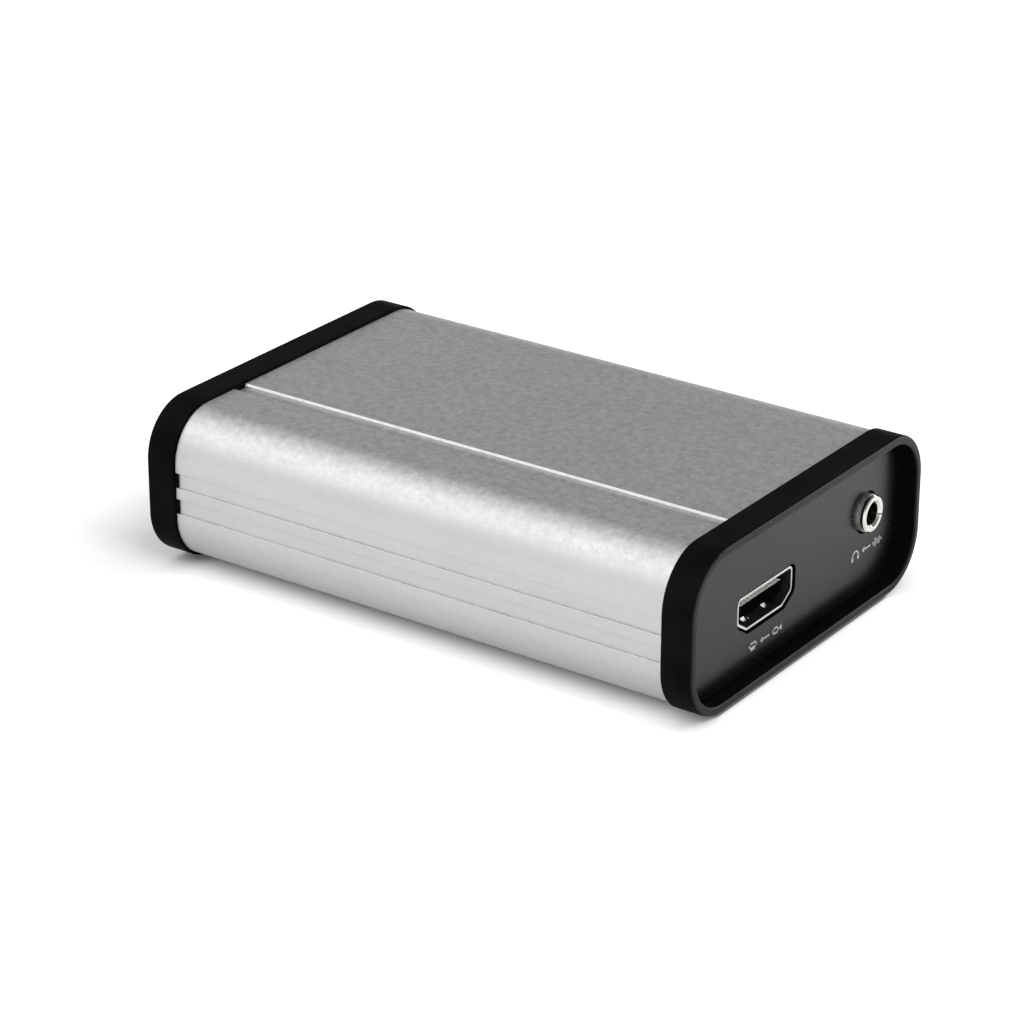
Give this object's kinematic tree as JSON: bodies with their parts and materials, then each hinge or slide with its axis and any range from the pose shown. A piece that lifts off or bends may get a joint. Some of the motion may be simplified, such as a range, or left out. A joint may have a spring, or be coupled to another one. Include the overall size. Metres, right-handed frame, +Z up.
{
  "type": "video capture box",
  "caption": "Flat box of ribbed aluminium tube with black end bezels, recessed black panels, a video socket and an audio jack at the front, and a circuit board inside.",
  "frame": {"origin": "middle of the box's footprint, at the level that the rubber feet stand on", "axes": "+X out of the front panel with the video socket and the audio jack, +Y to the audio jack's side, +Z up"},
  "size_m": [0.099, 0.065, 0.0266],
  "materials": {
    "tube": "fine blasted and anodised",
    "bezel": "satin black",
    "panel": "fine matte texture, black",
    "screw": "dark zinc",
    "foot": "matte black",
    "board": "green solder mask",
    "sheet": "amber film",
    "socket_steel": "tin plated",
    "socket_plastic": "black moulding",
    "contact": "gold plated",
    "jack_plastic": "black moulding",
    "nickel": "nickel plated",
    "chip": "black mould compound",
    "lead": "tinned",
    "tape": "white thermal pad",
    "sink": "black anodised",
    "can": "bright can",
    "ferrite": "dark ferrite",
    "ceramic": "tan ceramic",
    "lens": "clear light pipe",
    "lamp": "white chip light"
  },
  "bodies": {
    "box": {"housing_tube": "tube", "front_bezel": "bezel", "rear_bezel": "bezel", "front_panel": "panel", "rear_panel": "panel", "case_screws": "screw", "foot_front_right": "foot", "foot_front_left": "foot", "foot_rear_right": "foot", "foot_rear_left": "foot", "main_board": "board", "insulating_sheet": "sheet", "video_socket_shell": "socket_steel", "video_socket_insert": "socket_plastic", "video_socket_contacts": "contact", "audio_jack_body": "jack_plastic", "audio_jack_nose": "nickel", "jack_terminals": "contact", "data_socket_shell": "socket_steel", "data_socket_insert": "socket_plastic", "data_socket_contacts": "contact", "status_light": "lamp", "light_pipe": "lens", "receiver_chip": "chip", "receiver_leads": "lead", "capture_chip": "chip", "thermal_tape": "tape", "heat_sink": "sink", "memory_chip": "chip", "flash_chip": "chip", "audio_chip": "chip", "crystal": "can", "capacitors": "can", "inductors": "ferrite", "regulator": "chip", "chip_capacitors": "ceramic", "protection_arrays": "chip"},
    "video_finger_upper_right": {"video_finger_upper_right": "socket_steel"},
    "video_finger_upper_left": {"video_finger_upper_left": "socket_steel"},
    "video_finger_lower_right": {"video_finger_lower_right": "socket_steel"},
    "video_finger_lower_left": {"video_finger_lower_left": "socket_steel"},
    "jack_tip_spring": {"jack_tip_spring": "contact"},
    "jack_ring_spring": {"jack_ring_spring": "contact"}
  },
  "joints": [
    {"name": "video_finger_upper_right_flex", "type": "hinge", "parent": "box", "child": "video_finger_upper_right", "pos_m": [0.0382, -0.01068, 0.0139], "axis": [0, -1, 0], "range_deg": [0, 5], "stiffness_Nm_per_rad": 0.2},
    {"name": "video_finger_upper_left_flex", "type": "hinge", "parent": "box", "child": "video_finger_upper_left", "pos_m": [0.0382, -0.00502, 0.0139], "axis": [0, -1, 0], "range_deg": [0, 5], "stiffness_Nm_per_rad": 0.2},
    {"name": "video_finger_lower_right_flex", "type": "hinge", "parent": "box", "child": "video_finger_lower_right", "pos_m": [0.0382, -0.01068, 0.00885], "axis": [0, 1, 0], "range_deg": [0, 5], "stiffness_Nm_per_rad": 0.2},
    {"name": "video_finger_lower_left_flex", "type": "hinge", "parent": "box", "child": "video_finger_lower_left", "pos_m": [0.0382, -0.00502, 0.00885], "axis": [0, 1, 0], "range_deg": [0, 5], "stiffness_Nm_per_rad": 0.2},
    {"name": "jack_tip_spring_flex", "type": "hinge", "parent": "box", "child": "jack_tip_spring", "pos_m": [0.042, 0.01798, 0.01503], "axis": [0, 0, 1], "range_deg": [0, 4], "stiffness_Nm_per_rad": 0.1},
    {"name": "jack_ring_spring_flex", "type": "hinge", "parent": "box", "child": "jack_ring_spring", "pos_m": [0.042, 0.02328, 0.01503], "axis": [0, 0, -1], "range_deg": [0, 8], "stiffness_Nm_per_rad": 0.05}
  ]
}
